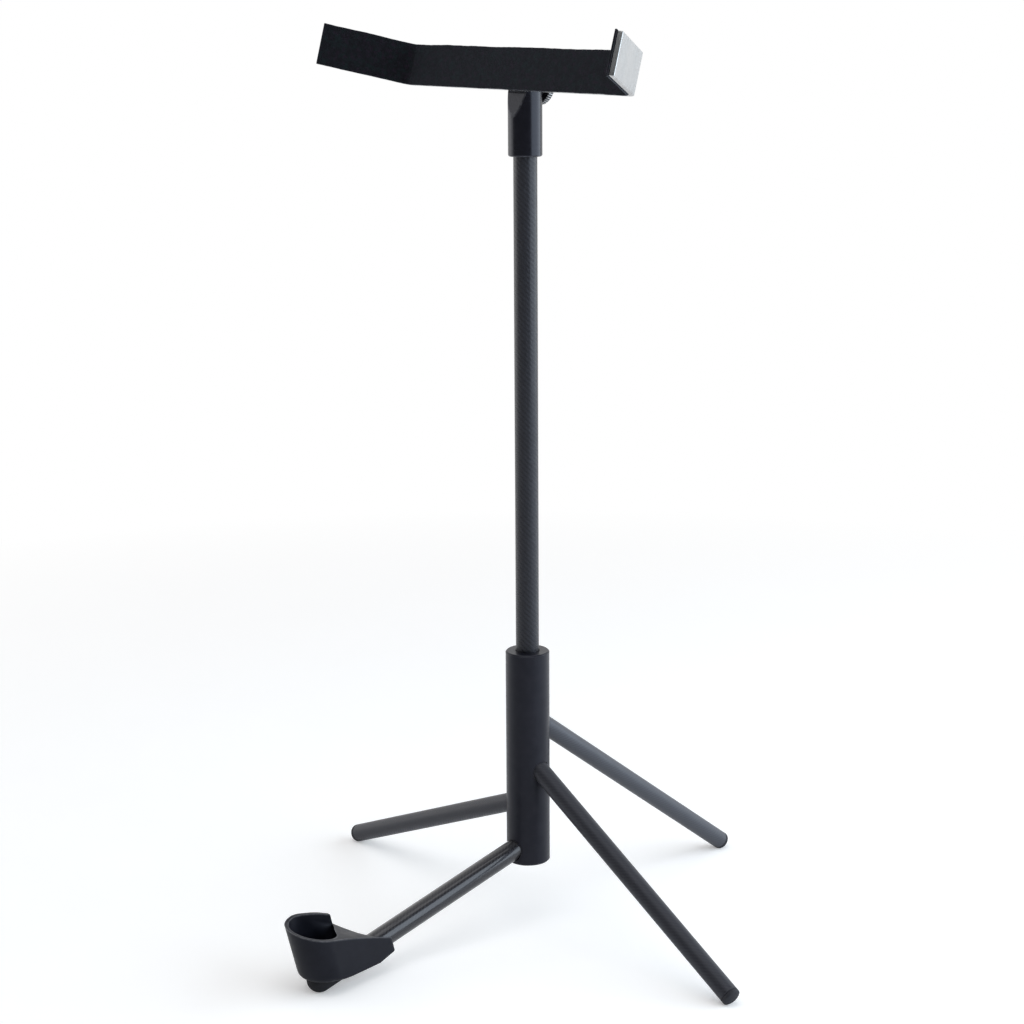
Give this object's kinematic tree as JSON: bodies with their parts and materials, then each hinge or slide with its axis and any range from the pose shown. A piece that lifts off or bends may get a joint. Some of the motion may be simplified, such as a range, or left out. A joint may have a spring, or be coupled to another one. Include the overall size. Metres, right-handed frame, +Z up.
{
  "type": "contrabassoon stand",
  "caption": "Free-standing contrabassoon stand: plug-in tube legs and a low cup arm in a round hub, and a post with a slanted head that carries a wide felt-lined cradle.",
  "frame": {"origin": "on the floor, at the middle of the stand's outline seen from above", "axes": "+Z up along the post, +X along the right leg, -Y along the cup arm and out of the cradle's open side"},
  "size_m": [0.504, 0.5116, 0.7766],
  "materials": {
    "acetal": "satin turned black plastic",
    "carbon": "woven carbon fibre under clear resin",
    "leg_carbon": "satin carbon fibre",
    "aluminium": "satin anodised",
    "black_metal": "black anodised, knurl tips rubbed bright",
    "felt": "black pressed felt",
    "bolt_steel": "bright stainless",
    "moulded": "fine-grained moulded black plastic",
    "rubber": "dull black rubber"
  },
  "bodies": {
    "hub": {"hub": "acetal", "post_ring": "rubber", "right_ring": "rubber", "rear_ring": "rubber", "left_ring": "rubber", "arm_ring": "rubber"},
    "post": {"post_tube": "carbon"},
    "head": {"head": "acetal", "head_ring": "rubber"},
    "cradle": {"cradle_bar": "aluminium", "felt_lining": "felt", "cradle_bolt": "bolt_steel"},
    "washer": {"clamp_washer": "aluminium"},
    "nut": {"thumb_nut": "black_metal"},
    "right_leg": {"right_leg": "leg_carbon", "right_foot": "rubber"},
    "rear_leg": {"rear_leg": "leg_carbon", "rear_foot": "rubber"},
    "left_leg": {"left_leg": "leg_carbon", "left_foot": "rubber"},
    "cup_arm": {"cup_arm": "carbon", "cup": "moulded", "cup_pad": "rubber", "cup_foot": "rubber"}
  },
  "joints": [
    {"name": "post_pull", "type": "slide", "parent": "hub", "child": "post", "axis": [0, 0, 1], "range_m": [0, 0.038]},
    {"name": "head_swivel", "type": "hinge", "parent": "post", "child": "head", "pos_m": [0, 0.00385, 0.67], "axis": [0, 0, 1], "continuous": true},
    {"name": "cradle_turn", "type": "hinge", "parent": "head", "child": "cradle", "pos_m": [0, -0.0025, 0.73104], "axis": [0, -0.9613, 0.2756], "continuous": true},
    {"name": "washer_travel", "type": "slide", "parent": "head", "child": "washer", "axis": [0, 0.9613, -0.2756], "range_m": [0, 0.003]},
    {"name": "nut_turn", "type": "hinge", "parent": "washer", "child": "nut", "pos_m": [0, -0.0025, 0.73104], "axis": [0, 0.9613, -0.2756], "range_deg": [0, 1080]},
    {"name": "right_leg_pull", "type": "slide", "parent": "hub", "child": "right_leg", "axis": [0.8659, 0, -0.5002], "range_m": [0, 0.026]},
    {"name": "rear_leg_pull", "type": "slide", "parent": "hub", "child": "rear_leg", "axis": [0, 0.804, -0.5947], "range_m": [0, 0.028]},
    {"name": "left_leg_pull", "type": "slide", "parent": "hub", "child": "left_leg", "axis": [-0.923, 0, -0.3848], "range_m": [0, 0.025]},
    {"name": "cup_arm_pull", "type": "slide", "parent": "hub", "child": "cup_arm", "axis": [0, -0.9663, -0.2573], "range_m": [0, 0.024]}
  ],
  "couplings": [
    {"joint": "washer_travel", "follows": "nut_turn", "m_per_rad": 0.00015915}
  ]
}
